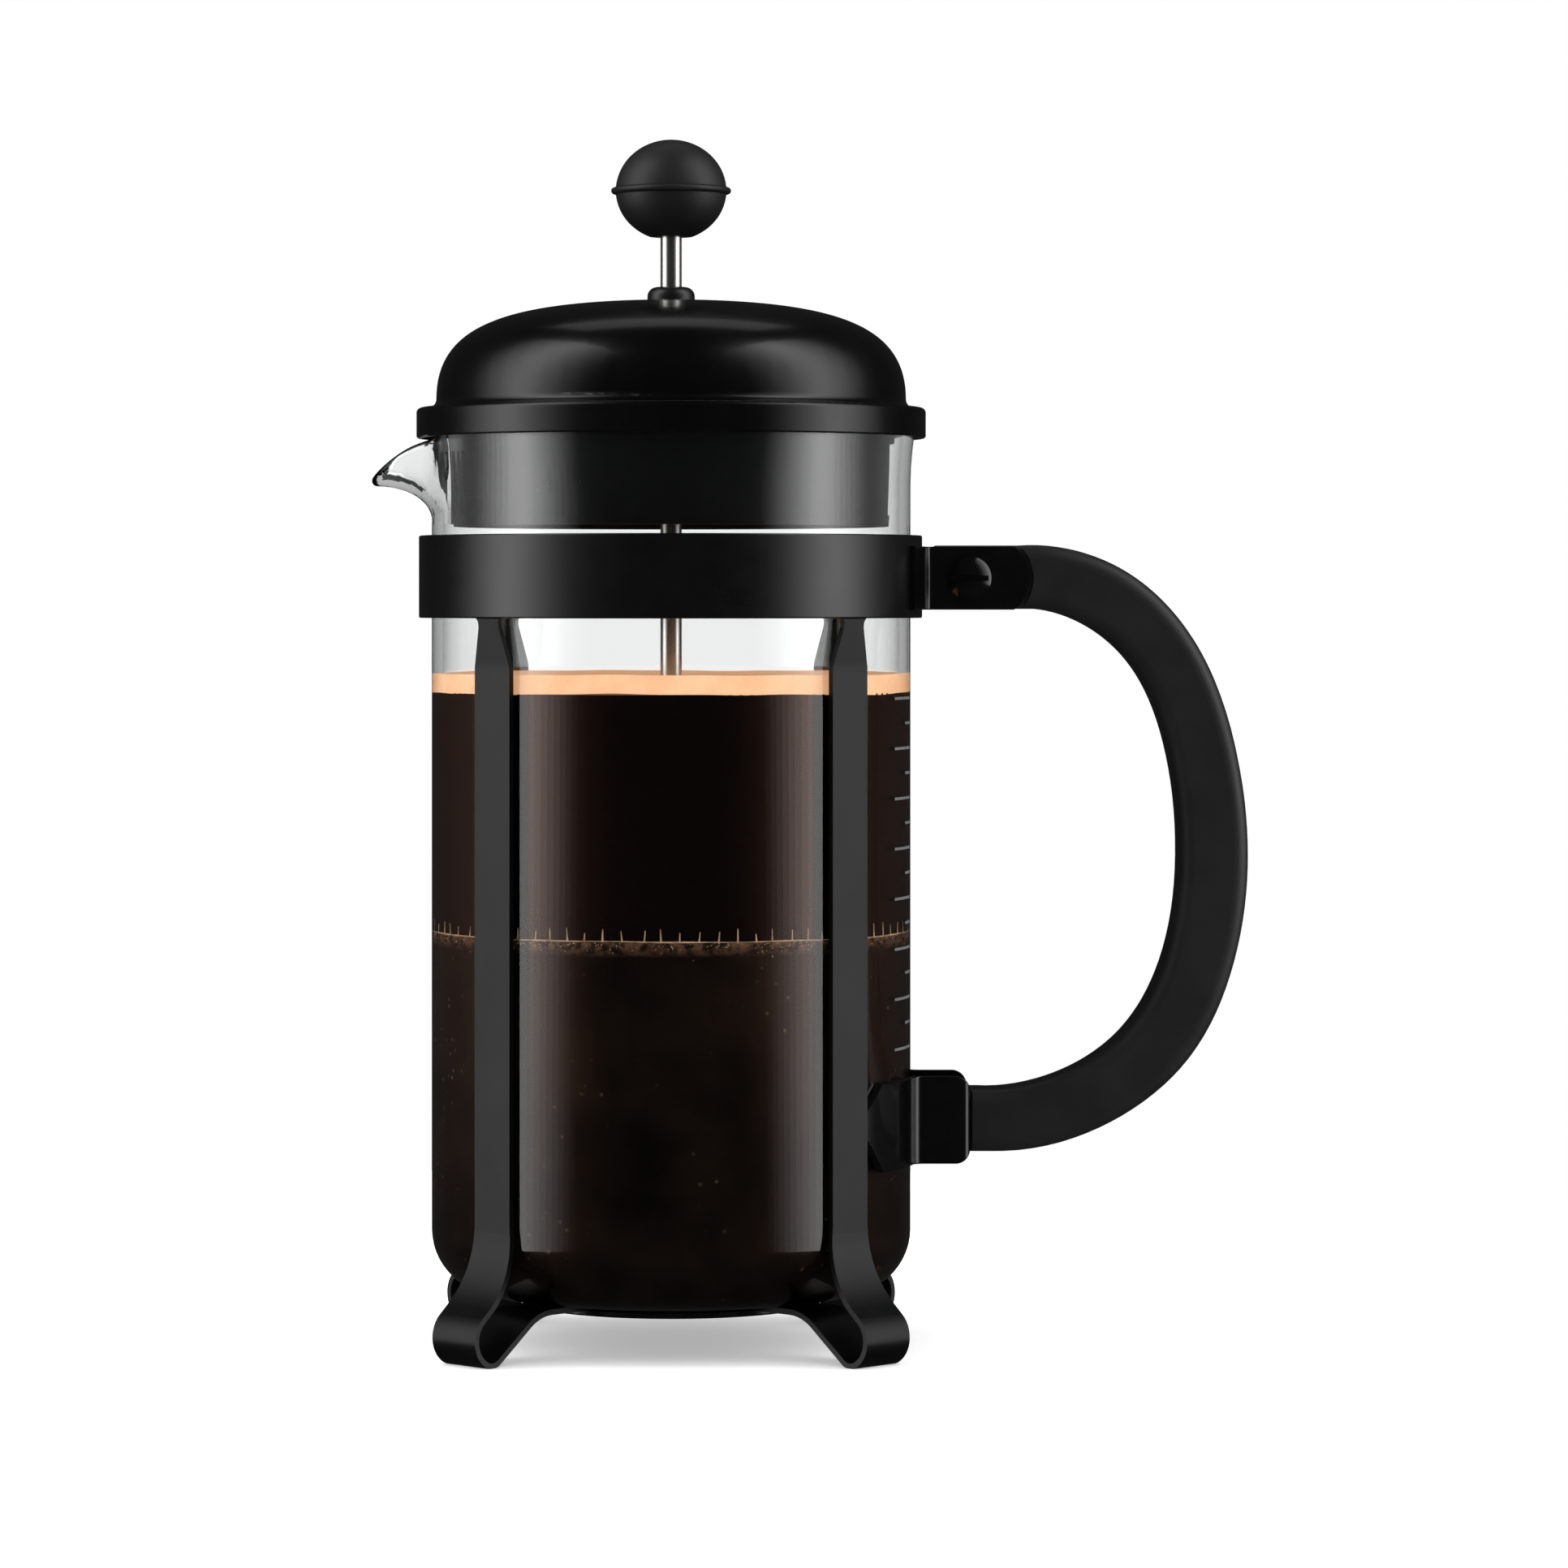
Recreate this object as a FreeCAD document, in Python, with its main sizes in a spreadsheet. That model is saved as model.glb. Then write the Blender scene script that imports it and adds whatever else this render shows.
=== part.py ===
import FreeCAD, Part
import math
import os

import Sketcher

# French press: a glass beaker in a stamped steel frame, with a lid, a rod and a filter.
# Millimetres, +Z up. The spout points along -X and the handle along +X. The shapes are drawn
# about the beaker's axis, and each sub-part is then placed so that the origin lies under the
# middle of the whole press, on the surface that the feet stand on.

DIMENSIONS = {
    "axis_x": -27.88,         # the beaker's axis, from the middle of the whole press
    # Sheet metal frame
    "sheet": 1.1,             # thickness of the band, legs, brackets and clips
    "band_radius": 51.0,      # outside
    "band_bottom": 146.3,
    "band_height": 16.6,
    "band_gap": 8.0,          # half of the opening under the handle, in degrees
    "leg_radius": 49.2,       # middle of the sheet, along the beaker
    "leg_width": 9.9,
    "leg_neck": 5.6,
    "foot_width": 12.2,
    "base_level": 9.1,        # underside of the four straps below the beaker
    "base_radius": 30.0,
    # Beaker
    "glass_radius": 48.4,     # outside
    "glass_wall": 2.2,
    "glass_bottom": 10.4,
    "glass_corner": 12.5,
    "glass_top": 184.3,
    "rim_flare": 0.8,
    "spout_reach": 60.1,
    "spout_root": 165.0,      # level where the spout starts to leave the wall
    "spout_half_angle": 23.0,
    # Handle and its fastening
    "handle_depth": 14.8,     # across, along Y
    "handle_round": 3.0,
    "tenon_depth": 12.7,
    "pivot_x": 60.0,
    "pivot_z": 154.3,
    "ear_height": 12.7,
    "screw_radius": 2.45,
    "screw_head": 4.4,
    "nut_flats": 8.0,
    # Lid
    "dome_radius": 47.5,
    "dome_base": 190.5,
    "dome_top": 210.4,
    "lid_wall": 2.0,
    "flange_radius": 51.5,
    "flange_bottom": 182.6,
    "flange_top": 188.7,
    "sleeve_radius": 45.2,
    "sleeve_taper": 1.2,
    "sleeve_bottom": 164.7,
    "sleeve_wall": 2.2,
    "guide_radius": 4.8,
    "guide_stem": 3.6,
    "guide_top": 213.2,
    # Plunger
    "rod_radius": 2.15,
    "rod_bottom": 28.6,
    "rod_top": 229.0,
    "knob_radius": 11.2,
    "knob_middle": 232.7,
    "knob_rise": 10.35,
    "knob_bottom": 223.4,
    "knob_flat": 4.3,         # radius of the flat underneath
    "knob_lip": 12.15,
    "plate_level": 34.1,      # where the screen and the plate above it meet
    "screen_radius": 45.85,
    "screen_gauge": 0.3,
    "spring_ring": 43.65,     # circle that the coil's middle follows
    "spring_coil": 1.85,
    "spring_wire": 0.35,
    "fit_gap": 0.05,          # running fit, on the radius
}

doc = FreeCAD.newDocument("french_press")
sheet = doc.addObject("Spreadsheet::Sheet", "dims")
for row, (alias, size) in enumerate(DIMENSIONS.items(), start=1):
    sheet.set("A%d" % row, alias)
    sheet.set("B%d" % row, str(size))
    sheet.setAlias("B%d" % row, alias)
doc.recompute()

subparts = []


def vec(x, y, z):
    return FreeCAD.Vector(x, y, z)


def dim(alias):
    return float(sheet.get(alias))


def value(text):
    """The size that a sum such as 'glass_radius - glass_wall + 0.3' has in the sheet."""
    total, sign = 0.0, 1.0
    for token in text.split():
        if token in ("+", "-"):
            sign = 1.0 if token == "+" else -1.0
            continue
        product = 1.0
        for factor in token.split("*"):
            product *= dim(factor) if factor in DIMENSIONS else float(factor)
        total += sign * product
    return total


def bound(text):
    """The same sum written for setExpression."""
    tokens = []
    for token in text.split():
        factors = ["dims." + f if f in DIMENSIONS else f for f in token.split("*")]
        tokens.append(" * ".join(factors))
    return " ".join(tokens)


def drive(obj, **sizes):
    for prop, text in sizes.items():
        obj.setExpression(prop, bound(text))
    return obj


def finish(obj, label, turn=0.0):
    """Names a sub-part and places it, turned about the beaker's axis where that is asked."""
    obj.Label = label
    obj.Placement = FreeCAD.Placement(vec(dim("axis_x"), 0, 0), FreeCAD.Rotation(vec(0, 0, 1), turn))
    subparts.append(obj)
    return obj


def formed(label, shape, turn=0.0):
    """A sub-part whose shape is set directly."""
    obj = doc.addObject("Part::Feature", label)
    obj.Shape = shape
    return finish(obj, label, turn)


def mirrored(shape):
    return shape.mirror(vec(0, 0, 0), vec(0, 1, 0))


# ---------------------------------------------------------------- sketches and bodies

def origin_plane(body, role):
    return [f for f in body.Origin.OriginFeatures if f.Role == role][0]


def new_sketch(body, name, role):
    sketch = body.newObject("Sketcher::SketchObject", name)
    sketch.AttachmentSupport = (origin_plane(body, role), [""])
    sketch.MapMode = "FlatFace"
    return sketch


def polygon(sketch, corners):
    """A closed outline whose corners are held at distances read from the sheet."""
    points = [vec(value(x), value(y), 0) for x, y in corners]
    count = len(points)
    for i in range(count):
        sketch.addGeometry(Part.LineSegment(points[i], points[(i + 1) % count]), False)
    for i in range(count):
        sketch.addConstraint(Sketcher.Constraint("Coincident", i, 2, (i + 1) % count, 1))
    for i, (x, y) in enumerate(corners):
        for axis, text in (("X", x), ("Y", y)):
            if value(text) == 0.0:
                line = -2 if axis == "X" else -1
                sketch.addConstraint(Sketcher.Constraint("PointOnObject", i, 1, line))
                continue
            held = Sketcher.Constraint("Distance" + axis, -1, 1, i, 1, value(text))
            number = sketch.addConstraint(held)
            sketch.setExpression("Constraints[%d]" % number, bound(text))


def ring_edges(shape, corners):
    """Names of the round edges at the given radius and height."""
    names = []
    for number, edge in enumerate(shape.Edges, start=1):
        if not isinstance(edge.Curve, Part.Circle):
            continue
        for radius, level in corners:
            near = abs(edge.Curve.Radius - value(radius)) < 1e-4
            if near and abs(edge.Curve.Center.z - value(level)) < 1e-4:
                names.append("Edge%d" % number)
    return names


def turned(label, outline, rounds=(), sweep=None):
    """A body of revolution about Z from an outline of (radius, height) corners."""
    body = doc.addObject("PartDesign::Body", label)
    sketch = new_sketch(body, label + "_outline", "XZ_Plane")
    polygon(sketch, outline)
    spin = body.newObject("PartDesign::Revolution", label + "_turn")
    spin.Profile = sketch
    spin.ReferenceAxis = (sketch, ["V_Axis"])
    spin.Angle = 360.0
    if sweep:
        drive(spin, Angle=sweep)
    doc.recompute()
    for number, (radius, corners) in enumerate(rounds):
        tip = body.Tip
        names = ring_edges(tip.Shape, corners)
        fillet = body.newObject("PartDesign::Fillet", "%s_round_%d" % (label, number))
        fillet.Base = (tip, names)
        drive(fillet, Radius=radius)
        doc.recompute()
    return body


def pattern_holes(body, name, draw, count, depth):
    """Cut one opening through a plate and repeat it about Z."""
    sketch = new_sketch(body, name + "_sketch", "XY_Plane")
    draw(sketch)
    cut = body.newObject("PartDesign::Pocket", name)
    cut.Profile = sketch
    cut.Midplane = True
    cut.Length = depth
    doc.recompute()
    before = cut.Shape.Volume
    repeat = body.newObject("PartDesign::PolarPattern", name + "_pattern")
    repeat.Originals = [cut]
    repeat.Axis = (sketch, ["N_Axis"])
    repeat.Angle = 360.0
    repeat.Occurrences = count
    body.Tip = repeat
    doc.recompute()
    if not repeat.Shape.Volume < before:
        raise RuntimeError(name + " cuts nothing")


def flat_ring(label, radius, length, level, inner):
    outer = doc.addObject("Part::Cylinder", label + "_outer")
    bore = doc.addObject("Part::Cylinder", label + "_bore")
    for piece, size in ((outer, radius), (bore, inner)):
        drive(piece, Radius=size, Height=length)
        piece.setExpression("Placement.Base.z", bound(level))
    ring = doc.addObject("Part::Cut", label)
    ring.Base = outer
    ring.Tool = bore
    return ring


# ---------------------------------------------------------------- bent strip

def arc_point(centre, radius, degrees):
    angle = math.radians(degrees)
    return (centre[0] + radius * math.cos(angle), centre[1] + radius * math.sin(angle))


def strip_face(steps, to_3d, thickness):
    """The side view of a bent strip. Steps are ('line', point) and ('arc', centre, radius,
    first angle, last angle) along the middle of the sheet."""
    half = thickness / 2.0
    left, right = [], []
    last = None
    for step in steps:
        if step[0] == "line":
            start, end = last, step[1]
            if start is not None:
                length = math.dist(start, end)
                normal = ((start[1] - end[1]) / length, (end[0] - start[0]) / length)
                for side, sign in ((left, 1), (right, -1)):
                    shifted = [(p[0] + sign * half * normal[0], p[1] + sign * half * normal[1])
                               for p in (start, end)]
                    side.append(Part.LineSegment(to_3d(*shifted[0]), to_3d(*shifted[1])).toShape())
            last = end
        else:
            _, centre, radius, first, final = step
            turn = 1 if final > first else -1
            middle = (first + final) / 2.0
            for side, sign in ((left, -turn), (right, turn)):
                points = [to_3d(*arc_point(centre, radius + sign * half, a))
                          for a in (first, middle, final)]
                side.append(Part.Arc(*points).toShape())
            last = arc_point(centre, radius, final)
    caps = []
    for index, end in ((0, 0), (-1, 1)):
        points = [side[index].valueAt(side[index].ParameterRange[end]) for side in (left, right)]
        caps.append(Part.LineSegment(points[0], points[1]).toShape())
    wire = Part.Wire(Part.__sortEdges__(left + right + caps))
    return Part.Face(wire)


def soften(shape, radius, chosen):
    """Round the chosen edges, and keep the sharp shape if that cannot be done."""
    edges = [edge for edge in shape.Edges if chosen(edge)]
    if not edges:
        return shape
    try:
        rounded = shape.makeFillet(radius, edges)
    except Part.OCCError:
        return shape
    return rounded if rounded.isValid() and rounded.Solids else shape


# ---------------------------------------------------------------- frame

def frame_band():
    corners = [("band_radius", "band_bottom"), ("band_radius - sheet", "band_bottom"),
               ("band_radius", "band_bottom + band_height"),
               ("band_radius - sheet", "band_bottom + band_height")]
    outline = [corners[1], corners[0], corners[2], corners[3]]
    band = turned("frame_band", outline, [("0.35", corners)], sweep="360 - 2*band_gap")
    return finish(band, "frame_band", dim("band_gap"))


def leg_path():
    """Middle of the leg strap in its own (radius, height) plane, from the band to the base."""
    radius = dim("leg_radius")
    half = dim("sheet") / 2.0
    top = (dim("band_radius") - half, dim("band_bottom"))
    lean, knee = 7.5, 15.0    # the strap steps in below the band
    flare = 19.3              # easy bend out towards the foot
    flare_turn = 49.0
    flare_start = 25.59
    foot_lead = 2.44
    foot, toe = 5.29, 3.0     # outer and under bends of the foot
    toe_turn = 60.0
    rise = 38.0
    heel = 10.0
    end = 16.0                # the strap ends below the base disc
    level = dim("base_level") + half
    knee_centre = (radius + knee, 0.0)
    knee_start = arc_point(knee_centre, knee, 180.0 - lean)
    step_height = (top[0] - knee_start[0]) / math.tan(math.radians(lean))
    knee_level = top[1] - step_height - knee_start[1]
    flare_centre = (radius + flare, flare_start)
    flare_end = arc_point(flare_centre, flare, 180.0 + flare_turn)
    foot_start = arc_point(flare_end, foot_lead, flare_turn - 90.0)
    foot_centre = arc_point(foot_start, foot, flare_turn - 180.0)
    toe_centre = arc_point(foot_centre, foot - toe, -toe_turn)
    toe_end = arc_point(toe_centre, toe, -90.0 - rise)
    heel_drop = heel * (1.0 - math.cos(math.radians(rise)))
    run = (level - heel_drop - toe_end[1]) / math.tan(math.radians(rise))
    heel_start = (toe_end[0] - run, level - heel_drop)
    heel_centre = (heel_start[0] - heel * math.sin(math.radians(rise)), level - heel)
    return [
        ("line", top),
        ("line", (knee_start[0], knee_level + knee_start[1])),
        ("arc", (radius + knee, knee_level), knee, 180.0 - lean, 180.0),
        ("line", (radius, flare_start)),
        ("arc", flare_centre, flare, 180.0, 180.0 + flare_turn),
        ("line", foot_start),
        ("arc", foot_centre, foot, flare_turn, -toe_turn),
        ("arc", toe_centre, toe, -toe_turn, -90.0 - rise),
        ("line", heel_start),
        ("arc", heel_centre, heel, 90.0 - rise, 90.0),
        ("line", (end, level)),
    ]


def leg_outline():
    """Front view of the leg: a narrow neck, a straight strap and a wider foot."""
    top = dim("band_bottom")
    neck, strap, foot = dim("leg_neck") / 2.0, dim("leg_width") / 2.0, dim("foot_width") / 2.0
    fillet, slant = 1.0, math.sqrt(0.5)
    neck_end, knee = top - 1.8, top - 9.6
    spread_top, spread_bottom, bottom = 27.0, 12.0, -5.0
    pull = vec(0, 0, -15)     # how far the widening keeps to the vertical
    edges = []
    for side in (1, -1):
        def at(width, level):
            return vec(0, side * width, level)
        corner = vec(0, side * (neck + fillet), top)
        middle = at(neck + fillet * (1.0 - slant), top - fillet * (1.0 - slant))
        blend = Part.Arc(corner, middle, at(neck, top - fillet))
        spread = Part.BSplineCurve()
        spread.interpolate(Points=[at(strap, spread_top), at(foot, spread_bottom)],
                           Tangents=[pull, pull])
        edges += [
            blend.toShape(),
            Part.LineSegment(at(neck, top - fillet), at(neck, neck_end)).toShape(),
            Part.LineSegment(at(neck, neck_end), at(strap, knee)).toShape(),
            Part.LineSegment(at(strap, knee), at(strap, spread_top)).toShape(),
            spread.toShape(),
            Part.LineSegment(at(foot, spread_bottom), at(foot, bottom)).toShape(),
        ]
    edges.append(Part.LineSegment(vec(0, neck + fillet, top), vec(0, -neck - fillet, top)).toShape())
    edges.append(Part.LineSegment(vec(0, foot, bottom), vec(0, -foot, bottom)).toShape())
    face = Part.Face(Part.Wire(Part.__sortEdges__(edges)))
    return face.extrude(vec(80, 0, 0))


def leg_shape():
    side = strip_face(leg_path(), lambda r, z: vec(r, -10, z), dim("sheet"))
    strap = side.extrude(vec(0, 20, 0)).common(leg_outline())
    # The underside of the foot is pressed flat where it stands
    strap = strap.cut(Part.makeBox(80, 40, 5, vec(20, -20, -5))).Solids[0]

    def along_side(edge):
        box = edge.BoundBox
        on_top = box.ZMin > dim("band_bottom") - 0.01
        land = box.ZMax < 0.001
        across = box.YMin < -0.5 and box.YMax > 0.5
        through = edge.Length < dim("sheet") * 1.3
        return not (on_top or land or across or through)
    return soften(strap, 0.28, along_side)


def legs():
    shape = leg_shape()
    names = (("leg_front_right", -45), ("leg_back_right", 45),
             ("leg_back_left", 135), ("leg_front_left", -135))
    for name, angle in names:
        formed(name, shape, angle)


def base_disc():
    under = "base_level - sheet"
    outline = [("0", under), ("base_radius", under), ("base_radius", "base_level"), ("0", "base_level")]
    disc = turned("base_disc", outline, [("0.4", [("base_radius", under)])])
    return finish(disc, "base_disc")


def upper_bracket():
    """The ear that is welded to the band and holds the top of the handle, front side (-Y)."""
    half = dim("sheet") / 2.0
    root = dim("band_radius") + half
    plane = dim("tenon_depth") / 2.0 + half
    bend = 1.6
    centre_y = -(plane + bend)
    centre_x = math.sqrt((root + bend) ** 2 - centre_y ** 2)
    angle = math.degrees(math.atan2(centre_y, centre_x))
    weld_start = -21.0        # degrees round the band
    straight_end = 66.5
    flare, flare_arc, flare_length = 8.0, 5.0, 6.0
    flare_centre = (straight_end, -plane - flare_arc)
    flare_end = arc_point(flare_centre, flare_arc, 90.0 - flare)
    path = [
        ("arc", (0, 0), root, weld_start, angle),
        ("arc", (centre_x, centre_y), bend, 180.0 + angle, 90.0),
        ("line", (straight_end, -plane)),
        ("arc", flare_centre, flare_arc, 90.0, 90.0 - flare),
        ("line", arc_point(flare_end, flare_length, -flare)),
    ]
    face = strip_face(path, lambda x, y: vec(x, y, 0), dim("sheet"))
    height = dim("ear_height")
    level = dim("pivot_z") - height / 2.0
    ear = face.extrude(vec(0, 0, height))
    ear.translate(vec(0, 0, level))
    nose = 8.2
    reach = 72.0
    keep = Part.makeBox(reach - nose, 60, 40, vec(0, -50, level - 10))
    keep = keep.fuse(Part.makeCylinder(nose, 60, vec(reach - nose, -50, dim("pivot_z")), vec(0, 1, 0)))
    ear = ear.common(keep)
    hole = Part.makeCylinder(dim("screw_radius") + dim("fit_gap"), 20,
                             vec(dim("pivot_x"), -20, dim("pivot_z")), vec(0, 1, 0))
    ear = ear.cut(hole).Solids[0]
    return soften(ear, 0.25, lambda e: e.BoundBox.ZMax - e.BoundBox.ZMin < 0.01
                  and e.Length > 2.0)


def lower_clip():
    """The plate beside the front right leg that turns out to hold the handle's lower end."""
    half = dim("sheet") / 2.0
    radius = dim("leg_radius")
    plane = dim("handle_depth") / 2.0 + 0.1 + half
    bend = 2.6
    centre_y = -(plane + bend)
    centre_x = math.sqrt((radius + bend) ** 2 - centre_y ** 2)
    angle = math.degrees(math.atan2(centre_y, centre_x))
    start = -45.0 + math.degrees(math.asin((dim("leg_width") / 2.0 + 0.05) / radius))
    hook = 1.2
    hook_x = 58.4
    path = [
        ("arc", (0, 0), radius, start, angle),
        ("arc", (centre_x, centre_y), bend, 180.0 + angle, 90.0),
        ("line", (hook_x, -plane)),
        ("arc", (hook_x, -plane + hook), hook, -90.0, 0.0),
    ]
    face = strip_face(path, lambda x, y: vec(x, y, 0), dim("sheet"))
    low, high = 36.6, 54.2
    clip = face.extrude(vec(0, 0, high - low))
    clip.translate(vec(0, 0, low))
    neck_low, neck_high = 43.3, 49.2
    edge_y = math.sin(math.radians(start)) * radius
    slope = 5.2
    for inner, outer in ((neck_high, high + 1), (neck_low, low - 1)):
        corner = [vec(0, edge_y - 4, inner), vec(0, edge_y, inner),
                  vec(0, edge_y + slope, outer), vec(0, edge_y - 4, outer)]
        wedge = Part.Face(Part.makePolygon(corner + [corner[0]])).extrude(vec(80, 0, 0))
        clip = clip.cut(wedge)
    # The hooked end has rounded corners
    reach = hook_x + hook + half
    keep = Part.makeBox(reach, 60, high - low, vec(0, -50, low))
    corners = [e for e in keep.Edges if e.BoundBox.XMin > reach - 0.01
               and e.BoundBox.ZMax - e.BoundBox.ZMin < 0.01]
    clip = clip.common(keep.makeFillet(3.0, corners)).Solids[0]
    return soften(clip, 0.25, lambda e: e.BoundBox.ZMax - e.BoundBox.ZMin < 0.01
                  and e.Length > 2.0)


# ---------------------------------------------------------------- handle

def spline(points):
    curve = Part.BSplineCurve()
    curve.interpolate(points)
    return curve.toShape()


def handle_outline():
    """Side view of the grip, in X and Z: a wide D with two arms that reach the beaker."""
    outer = [(70.0, 160.9), (80.7, 160.1), (91.2, 156.0), (105.2, 142.2), (114.0, 119.3),
             (116.3, 99.7), (113.5, 76.9), (104.2, 57.3), (87.9, 44.3), (77.0, 40.2), (66.0, 38.8)]
    inner = [(62.0, 51.4), (74.0, 52.8), (91.0, 62.8), (100.6, 82.4), (102.35, 99.1),
             (100.3, 119.0), (91.3, 138.8), (82.7, 145.4), (73.5, 148.1)]
    top_end, low_end = 53.4, 52.4
    outer = [vec(x, 0, z) for x, z in outer]
    inner = [vec(x, 0, z) for x, z in inner]
    top_high = vec(top_end, 0, outer[0].z)
    top_low = vec(top_end, 0, inner[-1].z)
    low_high = vec(low_end, 0, inner[0].z)
    low_low = vec(low_end, 0, outer[-1].z)
    return Part.Wire([
        Part.LineSegment(top_high, outer[0]).toShape(),
        spline(outer),
        Part.LineSegment(outer[-1], low_low).toShape(),
        Part.LineSegment(low_low, low_high).toShape(),
        Part.LineSegment(low_high, inner[0]).toShape(),
        spline(inner),
        Part.LineSegment(inner[-1], top_low).toShape(),
        Part.LineSegment(top_low, top_high).toShape(),
    ])


def handle():
    depth = dim("handle_depth")
    grip = Part.Face(handle_outline()).extrude(vec(0, depth, 0))
    grip.translate(vec(0, -depth / 2.0, 0))

    def long_edge(edge):
        flat = edge.BoundBox.YMax - edge.BoundBox.YMin < 0.01
        return flat and edge.BoundBox.XMax - edge.BoundBox.XMin > 5.0
    grip = soften(grip, dim("handle_round"), long_edge)
    pivot = vec(dim("pivot_x"), -20, dim("pivot_z"))
    nose = 9.1
    nose_x = 63.8
    clear = Part.makeCylinder(nose, 40, vec(nose_x, -20, dim("pivot_z")), vec(0, 1, 0))
    clear = clear.fuse(Part.makeBox(nose_x - 40, 40, 2 * nose, vec(40, -20, dim("pivot_z") - nose)))
    core = Part.makeBox(90, dim("tenon_depth"), 60, vec(0, -dim("tenon_depth") / 2.0, 120))
    grip = grip.cut(clear.cut(core))
    groove_depth = 1.9        # room for the hooked ends of the lower clips
    for side in (-1, 1):
        face_y = side * depth / 2.0
        low_y = min(face_y, face_y - side * groove_depth)
        grip = grip.cut(Part.makeBox(2.6, groove_depth, 30, vec(58.0, low_y, 30)))
    grip = grip.cut(Part.makeCylinder(dim("screw_radius") + 0.1, 40, pivot, vec(0, 1, 0)))
    return formed("handle", grip.Solids[0])


def handle_fastening():
    """A slotted screw from the front, with a washer and a nut behind."""
    face = dim("tenon_depth") / 2.0 + dim("sheet")
    x, z = dim("pivot_x"), dim("pivot_z")
    head = dim("screw_head")
    rise, rim = 1.5, 0.6
    washer_thick, nut_thick = 0.8, 3.6
    back = vec(0, -1, 0)
    cap_radius = (head ** 2 + rise ** 2) / (2 * rise)
    cap_centre = -face - rim - rise + cap_radius
    cap = Part.makeSphere(cap_radius, vec(x, cap_centre, z))
    cap = cap.common(Part.makeCylinder(head, rise + 1, vec(x, -face - rim + 0.001, z), back))
    screw = cap.fuse(Part.makeCylinder(head, rim, vec(x, -face, z), back))
    shank = 2 * face + washer_thick + nut_thick + 0.8
    screw = screw.fuse(Part.makeCylinder(dim("screw_radius"), shank, vec(x, -face, z), vec(0, 1, 0)))
    screw = screw.cut(Part.makeBox(20, 1.3, 1.1, vec(x - 10, -face - rim - rise - 0.2, z - 0.55)))
    formed("handle_screw", screw.removeSplitter().Solids[0])
    bore = Part.makeCylinder(dim("screw_radius"), 20, vec(x, face - 2, z), vec(0, 1, 0))
    washer = Part.makeCylinder(5.2, washer_thick, vec(x, face, z), vec(0, 1, 0)).cut(bore)
    formed("handle_washer", soften(washer, 0.2, lambda e: abs(e.BoundBox.YMax - face - washer_thick) < 0.01
                                   and e.Length > 20))
    corner = dim("nut_flats") / math.sqrt(3.0)
    start = face + washer_thick
    points = [vec(x + corner * math.cos(math.radians(60 * i)), start,
                  z + corner * math.sin(math.radians(60 * i))) for i in range(7)]
    nut = Part.Face(Part.makePolygon(points)).extrude(vec(0, nut_thick, 0))
    crown = Part.makeCone(corner + 1.6, corner - 0.5, nut_thick, vec(x, start, z), vec(0, 1, 0))
    formed("handle_nut", nut.common(crown).cut(bore).Solids[0])


# ---------------------------------------------------------------- beaker

def spout_weight(degrees):
    """1 at the middle of the spout and 0 where it meets the round wall."""
    return math.cos(math.radians(90.0 * degrees / dim("spout_half_angle"))) ** 2


def wall_point(share, weight):
    """A point of the beaker's outside, from the spout's root (0) to the rim (1)."""
    radius, root = dim("glass_radius"), dim("spout_root")
    top = dim("glass_top") - dim("glass_wall") / 2.0
    flare_start = 0.4
    flare = max(0.0, share - flare_start) / (1.0 - flare_start)
    plain_r, plain_z = radius + dim("rim_flare") * flare ** 2, root + (top - root) * share
    lip_start, lip_round, lip_rise = 0.1, 0.6, 7.9
    reach = dim("spout_reach") - radius - lip_round
    lip_r = radius + reach * (max(0.0, share - lip_start) / (1.0 - lip_start)) ** 1.6
    lip_z = root + lip_rise * (1.0 - (1.0 - share) ** 1.9)
    # The rim first ducks under the lid's flange, then stays high and falls away at the tip
    duck = 0.233
    drop = duck * (1.0 - (1.0 - weight) ** 12) + (1.0 - duck) * weight ** 2.2
    return (plain_r + (lip_r - plain_r) * weight ** 1.3, plain_z + (lip_z - plain_z) * drop)


def rim_section(weight):
    """Radial section of the wall between the spout's root and the rim, in (radius, height)."""
    shares = (0.0, 0.15, 0.3, 0.45, 0.6, 0.75, 0.9, 1.0)
    outside = [wall_point(share, weight) for share in shares]
    wall = dim("glass_wall")
    inside = []
    for index, point in enumerate(outside):
        before = outside[max(index - 1, 0)]
        after = outside[min(index + 1, len(outside) - 1)]
        if index == 0:
            before, after = (point[0], point[1] - 1), (point[0], point[1] + 1)
        length = math.dist(before, after)
        normal = ((before[1] - after[1]) / length, (after[0] - before[0]) / length)
        inside.append((point[0] + wall * normal[0], point[1] + wall * normal[1]))
    end_before, end_after = outside[-2], outside[-1]
    length = math.dist(end_before, end_after)
    along = ((end_after[0] - end_before[0]) / length, (end_after[1] - end_before[1]) / length)
    middle = ((outside[-1][0] + inside[-1][0]) / 2.0 + along[0] * wall / 2.0,
              (outside[-1][1] + inside[-1][1]) / 2.0 + along[1] * wall / 2.0)
    return outside, middle, inside


def section_wire(degrees):
    outside, middle, inside = rim_section(spout_weight(degrees))
    angle = math.radians(180.0 + degrees)

    def place(point):
        return vec(point[0] * math.cos(angle), point[0] * math.sin(angle), point[1])
    outer = [place(p) for p in outside]
    inner = [place(p) for p in inside]
    return Part.Wire([
        spline(outer),
        Part.Arc(outer[-1], place(middle), inner[-1]).toShape(),
        spline(list(reversed(inner))),
        Part.LineSegment(inner[0], outer[0]).toShape(),
    ])


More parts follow.
